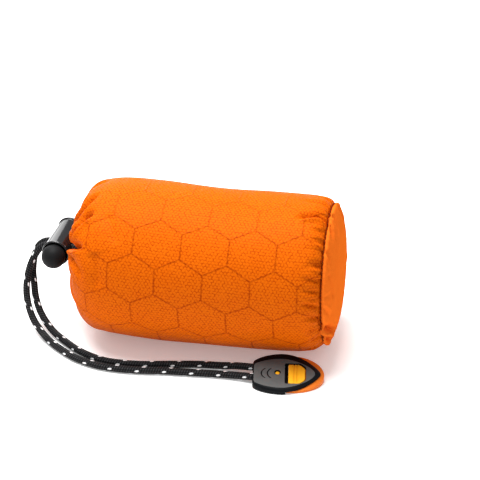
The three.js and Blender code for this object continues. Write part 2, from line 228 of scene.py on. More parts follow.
# Folds that show most, at the mouth: width, depth, raised side (above 0 where the turn grows),
# then the way each runs, as turn (0 is +Y, 90 the top, 180 the near side) and distance from the neck's end
MOUTH_FOLDS = [
    (1.4, 4.2, 1.5, (149, 6), (148, 14), (147.5, 20), (147, 27), (147, 33)),
    (1.7, 5.6, 1.5, (138, 18), (135, 23), (128, 26.5), (122, 30), (116, 35)),
    (1.1, 2.8, -0.8, (128, 12), (120, 18), (113, 23.5), (108, 28), (104, 30.5), (97, 35)),
    (1.0, 2.2, 0.6, (108, 12), (102, 17), (96, 24), (92, 30)),
    (1.4, 1.5, 0.5, (158, 19), (159, 25), (165, 30), (173, 33)),
    (1.5, 1.4, -0.5, (176, 7), (177, 16), (180, 24), (184, 31)),
    (5.0, -2.0, 0.0, (142, 10), (136, 17), (128, 24), (122, 28)),
    (3.0, 1.5, 0.3, (150, 37), (158, 38.5), (168, 39.5), (180, 39)),
    (2.6, 0.7, 0.0, (120, 40), (133, 44), (146, 46)),
]
FOLD_STEP = 0.5
FOLD_FADE = 6
MOUTH_GATHERS = dict(seed=5, count=13, from_deg=192, to_deg=448, width=1.8, depth=2.1, start=6, length=26)

# Folds that show most, at the base seam, with distance from the seam
BASE_FOLDS = [
    (1.4, 2.7, -1.3, (107.5, 0), (104.5, 4), (106.5, 9), (110, 15)),
    (0.9, 1.1, 0.4, (118, 0), (119, 4), (118, 8)),
    (0.8, 0.6, 0.3, (128, 0), (127, 3), (128, 7)),
    (1.2, 2.0, -0.6, (146.3, 0), (145.6, 3.6), (144.6, 7.5)),
    (1.0, 1.5, 0.5, (159.3, 0), (156.6, 5), (155, 10)),
    (1.0, 1.7, -0.5, (168.4, 0), (165.2, 5), (162.8, 10)),
    (1.0, 1.7, 0.5, (180.2, 0), (175.6, 5), (173, 10.5)),
    (1.0, 1.5, -0.5, (191.9, 0), (187.2, 3.6), (184, 8.5)),
    (1.0, 1.5, 0.5, (203, 0), (200, 4), (198, 9)),
    (1.0, 1.0, -0.4, (213, 0), (214, 3), (211, 7)),
]
SEAM_RIBS_TURN_DEG = (134.5, 141.5)
SEAM_RIBS_FROM = 1.6
SEAM_RIBS_APART = 1.25
SEAM_RIBS = 6
SEAM_RIB = (0.4, 0.32, 0.0)
BASE_GATHERS = dict(seed=8, count=15, from_deg=224, to_deg=458, width=1.2, depth=1.1, start=0, length=11)
PUCKER_SEED = 11
PUCKER_COUNT = 78
PUCKER_DEPTH = 0.55
PUCKER_LENGTHS = (3.0, 13.0)
PUCKER_WIDTHS = (0.9, 1.7)

# Cloth simulation, on a copy ten times as large
CLOTH_SCALE = 10
CLOTH_SETTINGS = {
    "quality": 5,
    "mass": 0.2,
    "tension_stiffness": 25,
    "compression_stiffness": 12,
    "shear_stiffness": 8,
    "bending_stiffness": 0.35,
    "air_damping": 2,
    "use_pressure": True,
}

# Floor and light: name, place, what it is aimed at, width and power of each light
FLOOR_HALF = 2500
FLOOR_GLOW = 0.22
LIGHTS = [
    ("overhead", (-130, 40, 600), (0, 0, 30), 460, 7.6),
    ("behind_left", (-310, 505, 240), (-63, 0, 36), 400, 1.3),
]
ROOM_LIGHT = 0.62

# Ripstop pattern, in millimetres over the flat cloth
HEXAGON = 19.2
HEXAGON_ROW_DEG = 27.2
HEXAGON_START_X = -25.5
HEXAGON_START_DEG = 167.9
HEXAGON_SKEW = -0.035
HEXAGON_LINE = 0.62
SMALL_HEXAGON = 1.46
SMALL_HEXAGON_LINE = 0.34
MM_PER_DEG = HEXAGON * math.sqrt(3) / 2 / HEXAGON_ROW_DEG
HALF_ROUND = 180 * MM_PER_DEG

# Plastics: dark and light colour, roughness, specular level, depth of the etched grain
PLASTICS = {
    "black_gloss_plastic": ((0.004, 0.004, 0.005, 1), (0.008, 0.008, 0.009, 1), 0.13, 0.45, 0.002),
    "black_satin_plastic": ((0.004, 0.004, 0.005, 1), (0.007, 0.008, 0.009, 1), 0.45, 0.05, 0.01),
    "black_matte_plastic": ((0.005, 0.0055, 0.006, 1), (0.008, 0.0085, 0.009, 1), 0.6, 0.1, 0.02),
    # Partly painted highlight: the upturned face is a lighter grey than the black sides because it faces
    # the light; its etched grain is its own.
    "etched_face_with_painted_highlight": ((0.075, 0.080, 0.080, 1), (0.105, 0.110, 0.108, 1), 0.6, 0.12, 0.02),
    "orange_plastic": ((0.70, 0.150, 0.012, 1), (0.76, 0.190, 0.018, 1), 0.4, 0.12, 0.01),
    # Painted highlight: a lighter copy of the orange plastic, for the body's upturned block and plug.
    "orange_plastic_painted_highlight": ((0.88, 0.42, 0.016, 1), (0.93, 0.48, 0.022, 1), 0.4, 0.12, 0.01),
}


def curve_through(points, spacing):
    """Points evenly spaced along a centripetal Catmull-Rom curve."""
    points = np.array(points, float)
    before = 2 * points[0] - points[1]
    after = 2 * points[-1] - points[-2]
    padded = np.vstack([before, points, after])
    share = np.linspace(0, 1, 24, endpoint=False)[:, None]
    pieces = []
    for i in range(1, len(padded) - 2):
        p0, p1, p2, p3 = padded[i - 1 : i + 3]
        d1 = math.sqrt(np.linalg.norm(p1 - p0))
        d2 = math.sqrt(np.linalg.norm(p2 - p1))
        d3 = math.sqrt(np.linalg.norm(p3 - p2))
        leave = ((p1 - p0) / d1 - (p2 - p0) / (d1 + d2) + (p2 - p1) / d2) * d2
        arrive = ((p2 - p1) / d2 - (p3 - p1) / (d2 + d3) + (p3 - p2) / d3) * d2
        pieces.append(
            (2 * share**3 - 3 * share**2 + 1) * p1
            + (share**3 - 2 * share**2 + share) * leave
            + (3 * share**2 - 2 * share**3) * p2
            + (share**3 - share**2) * arrive
        )
    fine = np.vstack([*pieces, points[-1:]])
    run = np.concatenate([[0], np.cumsum(np.linalg.norm(np.diff(fine, axis=0), axis=1))])
    even = np.linspace(0, run[-1], max(2, round(run[-1] / spacing)) + 1)
    return np.stack([np.interp(even, run, fine[:, k]) for k in range(fine.shape[1])], axis=1)


def grid_faces(rows, columns):
    """Four-sided faces over a closed tube of points, row after row."""
    faces = []
    for i in range(rows - 1):
        for j in range(columns):
            a = i * columns + j
            b = i * columns + (j + 1) % columns
            faces.append((a, b, b + columns, a + columns))
    return faces


def new_object(name, data):
    """An object in the scene."""
    made = bpy.data.objects.new(name, data)
    bpy.context.scene.collection.objects.link(made)
    return made


def aim_at(thing, place, aim):
    """Puts a camera or a light in its place and points it."""
    thing.location = Vector(place) * MM
    thing.rotation_euler = (Vector(aim) - Vector(place)).to_track_quat("-Z", "Y").to_euler()


def new_piece(name, points, faces, flat=None):
    """A smooth mesh from points in millimetres. flat gives each corner's place on the flat material."""
    mesh = bpy.data.meshes.new(name)
    mesh.from_pydata([tuple(p) for p in np.asarray(points, float) * MM], [], faces)
    mesh.polygons.foreach_set("use_smooth", [True] * len(mesh.polygons))
    if flat is not None:
        layer = mesh.uv_layers.new(name="flat")
        layer.data.foreach_set("uv", np.asarray(flat, np.float32).ravel())
    return new_object(name, mesh)


def closed_piece(name, points, faces, flat=None):
    """A new piece that is closed, with all its faces turned outward."""
    piece = new_piece(name, points, faces, flat)
    work = bmesh.new()
    work.from_mesh(piece.data)
    bmesh.ops.recalc_face_normals(work, faces=work.faces)
    work.to_mesh(piece.data)
    work.free()
    return piece


def keep_modifiers(piece):
    """Applies a piece's modifiers to its mesh."""
    graph = bpy.context.evaluated_depsgraph_get()
    mesh = bpy.data.meshes.new_from_object(piece.evaluated_get(graph))
    piece.modifiers.clear()
    piece.data = mesh


def make_camera():
    data = bpy.data.cameras.new("camera")
    data.lens = CAMERA_LENS
    camera = new_object("camera", data)
    aim_at(camera, CAMERA_AT, CAMERA_AIM)
    bpy.context.scene.camera = camera


def steady_frames(line):
    """Two directions across a line at each of its points, turned as little as possible along it."""
    along = np.gradient(line, axis=0)
    along /= np.linalg.norm(along, axis=1)[:, None]
    side = np.cross(along[0], (0, 0, 1))
    sides = []
    for direction in along:
        side = side - direction * (side @ direction)
        side /= np.linalg.norm(side)
        sides.append(side)
    sides = np.array(sides)
    return along, sides, np.cross(along, sides)


def braid_height(turn, along):
    """Height of the plaited yarns over a cord, from 0 between yarns to 1 on them."""
    right = BRAID_YARNS * (turn + along / BRAID_PITCH)
    left = BRAID_YARNS * (turn - along / BRAID_PITCH)
    right_on_top = (np.floor(right) + np.floor(left)) % 2 == 0
    across = np.abs(np.sin(math.pi * np.where(right_on_top, right, left)))
    length = np.abs(np.sin(math.pi * np.where(right_on_top, left, right)))
    return across**0.6 * length**0.3


def make_cord(name, route):
    """A braided cord along its route, and its middle line, which runs on a little into the whistle."""
    line = curve_through(route, CORD_STEP)
    heading = line[-1] - line[-2]
    heading /= np.linalg.norm(heading)
    extra = np.arange(CORD_STEP, CORD_INTO_WHISTLE, CORD_STEP)
    line = np.vstack([line, line[-1] + extra[:, None] * heading])
    _, side, up = steady_frames(line)
    turn = np.arange(CORD_SIDES) / CORD_SIDES
    along = np.arange(len(line)) * CORD_STEP
    radius = CORD_DIAMETER / 2 - BRAID_RELIEF * (1 - braid_height(turn[None, :], along[:, None]))
    radius = radius[:, :, None]
    angle = FULL_TURN * turn[None, :, None]
    points = line[:, None, :] + radius * (np.cos(angle) * side[:, None, :] + np.sin(angle) * up[:, None, :])
    points[:, :, 2] = np.maximum(points[:, :, 2], CORD_LOWEST)
    rows = len(line)
    faces = grid_faces(rows, CORD_SIDES)
    corners = ((0, 0), (0, 1), (1, 1), (1, 0))
    flat = [
        (along[i + further], (j + onward) / CORD_SIDES)
        for i in range(rows - 1)
        for j in range(CORD_SIDES)
        for further, onward in corners
    ]
    first = list(range(CORD_SIDES))[::-1]
    last = [(rows - 1) * CORD_SIDES + j for j in range(CORD_SIDES)]
    flat += [(along[0], 0)] * CORD_SIDES + [(along[-1], 0)] * CORD_SIDES
    return closed_piece(name, points.reshape(-1, 3), [*faces, first, last], flat), line


def ease(share):
    """From 0 to 1, level at both ends."""
    share = np.clip(share, 0, 1)
    return share * share * (3 - 2 * share)


def surface_at(profile, run, turn_deg, distance):
    """Points on an unfolded round form at these turns and distances along its profile."""
    x, radius, centre = (np.interp(distance, run, profile[:, k]) for k in range(3))
    turn = np.radians(turn_deg)
    return np.stack([x, radius * np.cos(turn), centre + radius * np.sin(turn)], axis=-1)


def fold_depth(plain, normals, way, width, depth, lip):
    """Depth of one fold at every point: a sharp valley along its way, with a raised side."""
    reach = 4 * width
    near = np.all((plain > way.min(axis=0) - reach) & (plain < way.max(axis=0) + reach), axis=-1)
    points = plain[near]
    offset = points[:, None, :] - way[None, :, :]
    nearest = np.argmin((offset**2).sum(axis=-1), axis=1)
    offset = offset[np.arange(len(points)), nearest]
    heading = np.gradient(way, axis=0)[nearest]
    across = np.cross(heading, normals[near])
    side = np.sign((offset * across).sum(axis=-1))
    away = side * np.linalg.norm(offset, axis=-1) / width
    from_start = nearest * FOLD_STEP
    to_end = (len(way) - 1 - nearest) * FOLD_STEP
    fade = ease(0.3 + from_start / 3) * ease(to_end / FOLD_FADE)
    valley = depth * np.exp(-np.abs(away) ** 1.25)
    crest = abs(lip) * np.exp(-(((away - 1.7 * np.sign(lip)) / 0.8) ** 2))
    result = np.zeros(plain.shape[:-1])
    result[near] = (valley - crest) * fade
    return result


def press_folds(points, plain, table, profile, run, from_end):
    """Presses folds into a grid of points. from_end counts their distances from the far end."""
    normals = grid_normals(points)
    depth = np.zeros(points.shape[:-1])
    for width, deep, lip, *route in table:
        route = np.array(route, float)
        turns = (route[:, 0] - route[0, 0] + 180) % 360 - 180 + route[0, 0]
        way = curve_through(np.stack([turns * MM_PER_DEG, route[:, 1]], axis=1), FOLD_STEP)
        distance = run[-1] - way[:, 1] if from_end else way[:, 1]
        way = surface_at(profile, run, way[:, 0] / MM_PER_DEG, distance)
        depth += fold_depth(plain, normals, way, width, deep, lip)
    return points - depth[..., None] * normals


def grid_normals(points):
    """Outward directions of a tube of rings whose turn grows from column to column."""
    along = np.gradient(points, axis=0)
    round_it = np.roll(points, -1, axis=1) - np.roll(points, 1, axis=1)
    normals = np.cross(round_it, along)
    return normals / np.maximum(np.linalg.norm(normals, axis=-1, keepdims=True), 1e-9)


def radiating_folds(seed, count, from_deg, to_deg, width, depth, start, length):
    """Folds that fan out from an edge, each a little different."""
    chance = np.random.default_rng(seed)
    table = []
    for i in range(count):
        turn = from_deg + (i + chance.uniform(0.25, 0.75)) * (to_deg - from_deg) / count
        lean = chance.uniform(-7, 7)
        far = length * chance.uniform(0.75, 1.3)
        table.append((
            width * chance.uniform(0.7, 1.3),
            depth * chance.uniform(0.55, 1.3),
            depth * chance.choice([-0.35, 0.35]),
            (turn, start),
            (turn + 0.3 * lean, start + 0.45 * far),
            (turn + lean, start + far),
        ))
    return table


def seam_ribs():
    """Short close ribs that the seam draws up across one stretch of the side panel."""
    low, high = SEAM_RIBS_TURN_DEG
    table = []
    for i in range(SEAM_RIBS):
        away = SEAM_RIBS_FROM + i * SEAM_RIBS_APART
        table.append((*SEAM_RIB, (low, away), (high, away + 0.3)))
    return table


def seam_puckers(distance, turn_deg):
    """Depth of the many short puckers that the base stitching draws up."""
    chance = np.random.default_rng(PUCKER_SEED)
    depth = np.zeros(np.broadcast(distance, turn_deg).shape)
    for i in range(PUCKER_COUNT):
        place = (i + chance.uniform(-0.35, 0.35)) * 360 / PUCKER_COUNT
        length = chance.uniform(*PUCKER_LENGTHS)
        width = chance.uniform(*PUCKER_WIDTHS)
        deep = PUCKER_DEPTH * chance.uniform(0.35, 1.25)
        slant = chance.uniform(-0.25, 0.25)
        away = (turn_deg - place - slant * distance + 180) % 360 - 180
        depth += deep * np.exp(-((away / width) ** 2)) * (1 - ease(distance / length))
    return depth


def rim_gathers(distance, turn_deg):
    """Depth of the close gathers round the drawn mouth."""
    turn = np.radians(turn_deg)
    fine = 1 - np.abs(np.cos(12 * turn + 1.1 * np.sin(2 * turn) + 0.7 * np.sin(5 * turn + 1)))
    coarse = 1 - np.abs(np.cos(6.5 * turn + 0.9 * np.sin(3 * turn + 0.5)))
    near = ease(0.2 + distance / 5)
    return near * (1.1 * fine * (1 - ease(distance / 13)) + 1.7 * coarse * (1 - ease(distance / 27)))


def hollows(x, turn_deg):
    """Soft unevenness of the stuffed sack, in and out by less than a millimetre."""
    turn = np.radians(turn_deg)
    wide = 0.30 * np.sin(2 * turn + 0.045 * x + 0.8) + 0.24 * np.sin(3 * turn - 0.07 * x + 2.1)
    close = 0.16 * np.sin(5 * turn + 0.11 * x) + 0.12 * np.sin(4 * turn - 0.17 * x + 1.0)
    return wide + close


def lean_base(points):
    """Leans the base end back a little towards its top."""
    share = BASE_LEAN * ease((points[..., 0] - BASE_LEAN_FROM) / (SEAM_X - BASE_LEAN_FROM))
    points[..., 0] -= share * np.maximum(0, points[..., 2] - 4)
    return points


def ring_points(x, radius, centre, turn_deg, height):
    """Points round the sack, rows by columns. A height under 1 makes flattened rings."""
    turn = np.radians(turn_deg)
    return np.stack([x + 0 * turn, radius * np.cos(turn), centre + height * radius * np.sin(turn)], axis=-1)


def swell(points, cut, sewn_rows, frames, pressure, most):
    """Blows a tube of cloth up with Blender's cloth, on a larger copy, and gives its new points.
    cut is the shape that the cloth was cut to, sewn_rows are held in place, and no point moves
    further than most."""
    rows, columns = points.shape[:2]
    bigger = CLOTH_SCALE * MM
    mesh = bpy.data.meshes.new("cloth_at_work")
    mesh.from_pydata([tuple(p) for p in points.reshape(-1, 3) * bigger], [], grid_faces(rows, columns))
    worker = new_object("cloth_at_work", mesh)
    worker.shape_key_add(name="start")
    flat_cut = worker.shape_key_add(name="cut")
    flat_cut.data.foreach_set("co", (cut * bigger).ravel())
    sewn = worker.vertex_groups.new(name="sewn")
    sewn.add([row * columns + j for row in sewn_rows for j in range(columns)], 1.0, "REPLACE")
    cloth = worker.modifiers.new("cloth", "CLOTH")
    for name, value in CLOTH_SETTINGS.items():
        setattr(cloth.settings, name, value)
    cloth.settings.uniform_pressure_force = pressure
    cloth.settings.vertex_group_mass = "sewn"
    cloth.settings.rest_shape_key = flat_cut
    cloth.settings.effector_weights.gravity = 0
    cloth.collision_settings.use_collision = False
    for number in range(1, frames + 1):
        bpy.context.scene.frame_set(number)
    done = worker.evaluated_get(bpy.context.evaluated_depsgraph_get())
    moved = np.empty(points.size)
    done.data.vertices.foreach_get("co", moved)
    bpy.context.scene.frame_set(1)
    bpy.data.objects.remove(worker)
    step = moved.reshape(points.shape) / bigger - points
    far = np.linalg.norm(step, axis=-1, keepdims=True)
    return points + step * np.minimum(1, most / np.maximum(far, 1e-9))


def settle_on_floor(points):
    """Flattens what lies lowest on the surface, with a soft edge to the flat spot."""
    height = points[..., 2]
    soft = 0.5 * (height + np.sqrt(height**2 + FLAT_SPOT_EDGE**2))
    points[..., 2] = np.where(height < 3 * FLAT_SPOT_EDGE, soft, height)
    return points


def run_along(profile):
    """Distance along a profile of x and radius, as a column."""
    steps = np.linalg.norm(np.diff(profile[:, :2], axis=0), axis=1)
    return np.concatenate([[0], np.cumsum(steps)])[:, None]


def flat_places(faces, place):
    """The flat place of each face's corners, kept together where a face spans the side seam."""
    flat = []
    for face in faces:
        corners = place[list(face)].copy()
        low = corners[:, 1] < corners[:, 1].max() - HALF_ROUND
        corners[low, 1] += 2 * HALF_ROUND
        flat.append(corners)
    return np.vstack(flat)


def close_ends(points, first_centre, last_centre):
    """Adds a point at each end of a tube of rings, and the faces that close it."""
    rows, columns = points.shape[:2]
    everything = np.vstack([points.reshape(-1, 3), [first_centre, last_centre]])
    first = rows * columns
    last = first + 1
    faces = grid_faces(rows, columns)
    for j in range(columns):
        after = (j + 1) % columns
        faces.append((first, after, j))
        faces.append((last, first - columns + j, first - columns + after))
    return everything, faces


def with_points_between(grid):
    """Rows of points with a new one between every two, on a smooth curve through its neighbours."""
    ends = np.concatenate([2 * grid[:1] - grid[1:2], grid, 2 * grid[-1:] - grid[-2:-1]])
    between = (9 * (ends[1:-2] + ends[2:-1]) - ends[:-3] - ends[3:]) / 16
    finer = np.empty((2 * len(grid) - 1, *grid.shape[1:]))
    finer[::2] = grid
    finer[1::2] = between
    return finer


def twice_as_fine(grid):
    """A tube of rings with twice as many rows and columns."""
    joined = np.concatenate([grid[:, -2:], grid, grid[:, :2]], axis=1)
    columns = with_points_between(joined.swapaxes(0, 1)).swapaxes(0, 1)[:, 4:-3]
    return with_points_between(columns)


def column_turns(columns):
    """Turn of each column round the sack, in degrees, as a row that starts at the side seam."""
    return SIDE_SEAM_DEG + np.arange(columns)[None, :] * 360 / columns


def finer_grid(points, profile, run):
    """A finer grid, its distances along the profile, its turns, and its places on the unfolded form."""
    points = twice_as_fine(points)
    away = np.linspace(0, run[-1], len(points))[:, None]
    turn_deg = column_turns(points.shape[1])
    plain = surface_at(profile, run, *np.broadcast_arrays(turn_deg, away))
    return points, away, turn_deg, plain


def outward_of(profile):
    """Outward direction of a profile that runs towards the base: its part along X and along the radius."""
    heading = np.gradient(profile[:, :2], axis=0)
    heading /= np.linalg.norm(heading, axis=1)[:, None]
    return -heading[:, 1][:, None], heading[:, 0][:, None]


def sack_points(profile, turn_deg):
    """The side panel with its folds, and the shape that its cloth was cut to, rings by columns."""
    x, radius, centre = (profile[:, k][:, None] for k in range(3))
    from_neck = run_along(profile)
    from_mouth = np.maximum(0, from_neck - NECK_LENGTH)
    from_base = from_neck[-1] - from_neck
    middle = ease(from_mouth / 25) * ease(from_base / 10)
    gathers = rim_gathers(from_mouth, turn_deg) * ease(from_neck / NECK_LENGTH)
    depth = gathers - hollows(x, turn_deg) * middle
    out_x, out_radius = outward_of(profile)
    folded_x = x - depth * out_x
    folded = np.maximum(radius - depth * out_radius, 0.6 * radius)
    neck = NECK_HEIGHT + (1 - NECK_HEIGHT) * ease(from_neck / (2 * NECK_LENGTH))
    spare = 1 + 0.10 * (1 - ease(from_base / 16)) + 0.30 * (1 - ease(from_mouth / 30))
    points = ring_points(folded_x, folded, centre, turn_deg, neck)
    cut = ring_points(folded_x, folded * spare, centre, turn_deg, neck)
    return points, cut, from_neck


def make_sack():
    """The filled side panel, swollen by cloth simulation between its drawn mouth and its base seam."""
    profile = curve_through(SIDE_PROFILE, SACK_SPACING)
    points, cut, from_neck = sack_points(profile, column_turns(SACK_COLUMNS))
    points = settle_on_floor(points)
    sewn_rows = [0, 1, 2, 3, 4, len(profile) - 1]
    points = swell(points, cut, sewn_rows, frames=20, pressure=3, most=2.0)
    run = from_neck[:, 0]
    points, away, turn_deg, plain = finer_grid(points, profile, run)
    mouth_table = MOUTH_FOLDS + radiating_folds(**MOUTH_GATHERS)
    base_table = BASE_FOLDS + seam_ribs() + radiating_folds(**BASE_GATHERS)
    points = press_folds(points, plain, mouth_table, profile, run, False)
    points = press_folds(points, plain, base_table, profile, run, True)
    points -= seam_puckers(run[-1] - away, turn_deg)[..., None] * grid_normals(points)
    points = lean_base(settle_on_floor(points))
    along = away - np.interp(0, profile[:, 0], run)
    round_it = (turn_deg - HEXAGON_START_DEG) * MM_PER_DEG
    place = np.stack(np.broadcast_arrays(along, round_it), axis=-1).reshape(-1, 2)
    place = np.vstack([place, place[:1], place[-1:]])
    neck_end = (NECK_END_X, 0, SIDE_PROFILE[0][2])
    base_end = (SIDE_PROFILE[-1][0] - 0.3, 0, BASE_CENTRE)
    everything, faces = close_ends(points, neck_end, base_end)
    return closed_piece("stuffed_side_panel", everything, faces, flat_places(faces, place))


def make_base_panel():
    """The round base panel, swollen between its stitches."""
    profile = curve_through([(x, radius, BASE_CENTRE) for x, radius in PANEL_PROFILE], PANEL_SPACING)
    run = run_along(profile)[:, 0]
    points = surface_at(profile, run, *np.broadcast_arrays(column_turns(PANEL_COLUMNS), run[:, None]))
    cut = points.copy()
    spare = 1 + 0.05 * ease(profile[:, 1] / 20)[:, None]
    cut[..., 1] *= spare
    cut[..., 2] = BASE_CENTRE + (cut[..., 2] - BASE_CENTRE) * spare
    points = swell(points, cut, [0], frames=16, pressure=1.5, most=0.9)
    points, away, turn_deg, plain = finer_grid(points, profile, run)
    points = press_folds(points, plain, PANEL_FOLDS, profile, run, False)
    roll = 0.7 * seam_puckers(away, turn_deg) * ease(away / 1.5) * (1 - ease(away / 9))
    points = lean_base(points - roll[..., None] * grid_normals(points))
    everything, faces = close_ends(points, (PANEL_BACK_X, 0, BASE_CENTRE), points[-1].mean(axis=0))
    across = everything[:, 1:] - (0, BASE_CENTRE)
    return closed_piece("base_panel_cloth", everything, faces, np.vstack([across[list(f)] for f in faces]))


def stitch(start, end):
    """Points and faces of one stitch of thread with rounded ends."""
    start, end = np.array(start, float), np.array(end, float)
    along = (end - start) / np.linalg.norm(end - start)
    side = np.cross(along, (1, 0, 0))
    side /= np.linalg.norm(side)
    up = np.cross(along, side)
    length = np.linalg.norm(end - start)
    points = []
    for place, wide in THREAD_SHAPE:
        lift = 0.25 * THREAD_RADIUS * math.sin(math.pi * place)
        for j in range(THREAD_SIDES):
            angle = FULL_TURN * j / THREAD_SIDES
            out = THREAD_RADIUS * wide * (math.cos(angle) * side + math.sin(angle) * up)
            points.append(start + along * length * place + out + np.array([lift, 0, 0]))
    faces = grid_faces(len(THREAD_SHAPE), THREAD_SIDES)
    faces += [tuple(range(THREAD_SIDES))[::-1], tuple(range(len(points) - THREAD_SIDES, len(points)))]
    return points, faces


def make_stitches():
    """The thread that shows along the base seam, stitch after stitch."""
    points = []
    faces = []
    share = STITCH_LENGTH / (FULL_TURN * SEAM_RADIUS)
    for i in range(STITCH_COUNT):
        ends = []
        for place in (i / STITCH_COUNT, i / STITCH_COUNT + share):
            turn = FULL_TURN * place
            ends.append((SEAM_X, SEAM_RADIUS * math.cos(turn), BASE_CENTRE + SEAM_RADIUS * math.sin(turn)))
        more, new = stitch(*ends)
        faces += [tuple(k + len(points) for k in face) for face in new]
        points += more
    return closed_piece("base_seam_stitches", lean_base(np.array(points)), faces)


def turned_about(rise_deg, turn_deg, origin):
    """The place of a piece that is tilted about its own X and then turned about Z."""
    tilt = Matrix.Rotation(math.radians(rise_deg), 4, "X")
    turn = Matrix.Rotation(math.radians(turn_deg), 4, "Z")
    return Matrix.Translation(Vector(origin) * MM) @ turn @ tilt


def round_corners(outline, radius):
    """An outline whose corners, apart from its two ends, are small arcs."""
    outline = [Vector(p) for p in outline]
    rounded = [outline[0]]
    for before, corner, after in zip(outline, outline[1:], outline[2:]):
        cut = min(radius, 0.45 * (before - corner).length, 0.45 * (after - corner).length)
        enter = corner + (before - corner).normalized() * cut
        leave = corner + (after - corner).normalized() * cut
        for i in range(CORNER_STEPS + 1):
            share = i / CORNER_STEPS
            rounded.append(enter.lerp(corner, share).lerp(corner.lerp(leave, share), share))
    return rounded + [outline[-1]]


def lathe(name, outline):
    """A closed turned piece about its own Y, from an outline of radius and place along it."""
    angle = FULL_TURN * np.arange(LOCK_SIDES) / LOCK_SIDES
    rings = [[(r * math.cos(a), along, r * math.sin(a)) for a in angle] for r, along in outline[1:-1]]
    points, faces = close_ends(np.array(rings), (0, outline[0][1], 0), (0, outline[-1][1], 0))
    return closed_piece(name, points, faces)


def prism(name, outline, low, high):
    """A closed straight piece with this outline of X and Y, between two heights."""
    count = len(outline)
    points = [(x, y, z) for z in (low, high) for x, y in outline]
    faces = grid_faces(2, count)
    faces += [tuple(range(count))[::-1], tuple(range(count, 2 * count))]
    return closed_piece(name, points, faces)


def cut_away(piece, *tools, operation="DIFFERENCE"):
    """Cuts closed tools out of a piece, or joins them to it, and removes them."""
    for tool in tools:
        step = piece.modifiers.new(tool.name, "BOOLEAN")
        step.operation = operation
        step.solver = "EXACT"
        step.object = tool
    keep_modifiers(piece)
    for tool in tools:
        bpy.data.objects.remove(tool)


def soften_edges(piece):
    """Rounds a moulded piece's sharp edges and shades it smooth between them."""
    bevel = piece.modifiers.new("edges", "BEVEL")
    bevel.width = MOULDED_EDGE * MM
    bevel.segments = 2
    bevel.limit_method = "ANGLE"
    bevel.angle_limit = math.radians(ROUNDED_FROM_DEG)
    keep_modifiers(piece)
    piece.data.polygons.foreach_set("use_smooth", [True] * len(piece.data.polygons))
    piece.data.set_sharp_from_angle(angle=math.radians(SHARP_FROM_DEG))


def arc(centre, radius, start_deg, end_deg, steps):
    """Points along an arc of X and Y."""
    turn = np.radians(np.linspace(start_deg, end_deg, steps + 1))
    return [(centre[0] + radius * math.cos(t), centre[1] + radius * math.sin(t)) for t in turn]


def cord_slot(near):
    """The round-ended slot that both strands pass through, as a tool that reaches past both sides."""
    half = SLOT_HEIGHT / 2
    outline = arc((0, SLOT_FAR - half), half, 0, 180, 12) + arc((0, near + half), half, 180, 360, 12)
    slot = prism("slot", outline, -SLOT_REACH, SLOT_REACH)
    slot.data.transform(Matrix.Rotation(math.radians(90), 4, "Y"))
    return slot


def place_lock_piece(piece):
    shift = Matrix.Translation(Vector((0, LOCK_SHIFT, 0)) * MM)
    piece.data.transform(turned_about(LOCK_RISE_DEG, LOCK_TURN_DEG, LOCK_CENTRE) @ shift)


def make_barrel():
    """The cord lock's hollow barrel."""
    barrel = lathe("lock_barrel_moulding", round_corners(BARREL_OUTLINE, BARREL_CORNER))
    cut_away(barrel, cord_slot(SLOT_NEAR))
    soften_edges(barrel)
    place_lock_piece(barrel)
    return barrel


def make_button():
    """The cord lock's ball button and the stem that slides in the barrel."""
    stem_turn = math.pi - math.asin(STEM_RADIUS / BALL_RADIUS)
    ball_centre = -BALL_STANDS_OUT
    outline = [(0, ball_centre - BALL_RADIUS)]
    for i in range(1, BALL_STEPS + 1):
        turn = stem_turn * i / BALL_STEPS
        outline.append((BALL_RADIUS * math.sin(turn), ball_centre - BALL_RADIUS * math.cos(turn)))
    outline += [(STEM_RADIUS, STEM_END - 0.5), (STEM_RADIUS - 0.5, STEM_END), (0, STEM_END)]
    button = lathe("lock_button_moulding", outline)
    cut_away(button, cord_slot(SLOT_NEAR - BUTTON_TRAVEL))
    soften_edges(button)
    place_lock_piece(button)
    return button


def both_sides(table, far_side):
    """A closed outline of the whistle from a table of half widths, round by its front.
    far_side is how much wider its far half is."""
    half = curve_through(table, WHISTLE_SPACING)
    near = [(along, -wide) for along, wide in half]
    far = [(along, far_side * wide) for along, wide in half[:-1]]
    return near + far[::-1]


def keel_height(across):
    """Height of the whistle's keeled underside at this distance to the side."""
    return abs(across) * math.tan(math.radians(WHISTLE_KEEL_DEG))


def plate(name, table, far_side, top, face_table=None, face_top=None):
    """A whistle plate over the keeled underside, to its top, or sloping on to a smaller, higher face.
    far_side is how much wider its far half is."""
    outline = both_sides(table, far_side)
    count = len(outline)
    rings = [[(x, y, keel_height(y)) for x, y in outline]]
    rings.append([(x, y, top) for x, y in outline])
    if face_table:
        face = np.array(both_sides(face_table, 1.0)) + (0, FACE_SHIFT)
        share = np.linspace(0, 1, len(face))
        even = np.linspace(0, 1, count)
        face = np.stack([np.interp(even, share, face[:, k]) for k in range(2)], axis=1)
        for step in (0.08, 0.3, 0.6, 0.9, 1.0):
            height = top + (face_top - top) * math.sin(0.5 * math.pi * step) ** 0.8
            rings.append([
                (x + (fx - x) * step, y + (fy - y) * step, height)
                for (x, y), (fx, fy) in zip(outline, face)
            ])
    points = [p for ring in rings for p in ring]
    faces = grid_faces(len(rings), count)
    faces.append(tuple(range((len(rings) - 1) * count, len(rings) * count)))
    half = count // 2
    for i in range(half):
        a, b = i, i + 1
        c, d = count - 1 - b, count - 1 - a
        if b < c:
            faces.append((a, b, c, d))
        elif b == c:
            faces.append((a, b, d))
    return closed_piece(name, points, faces)


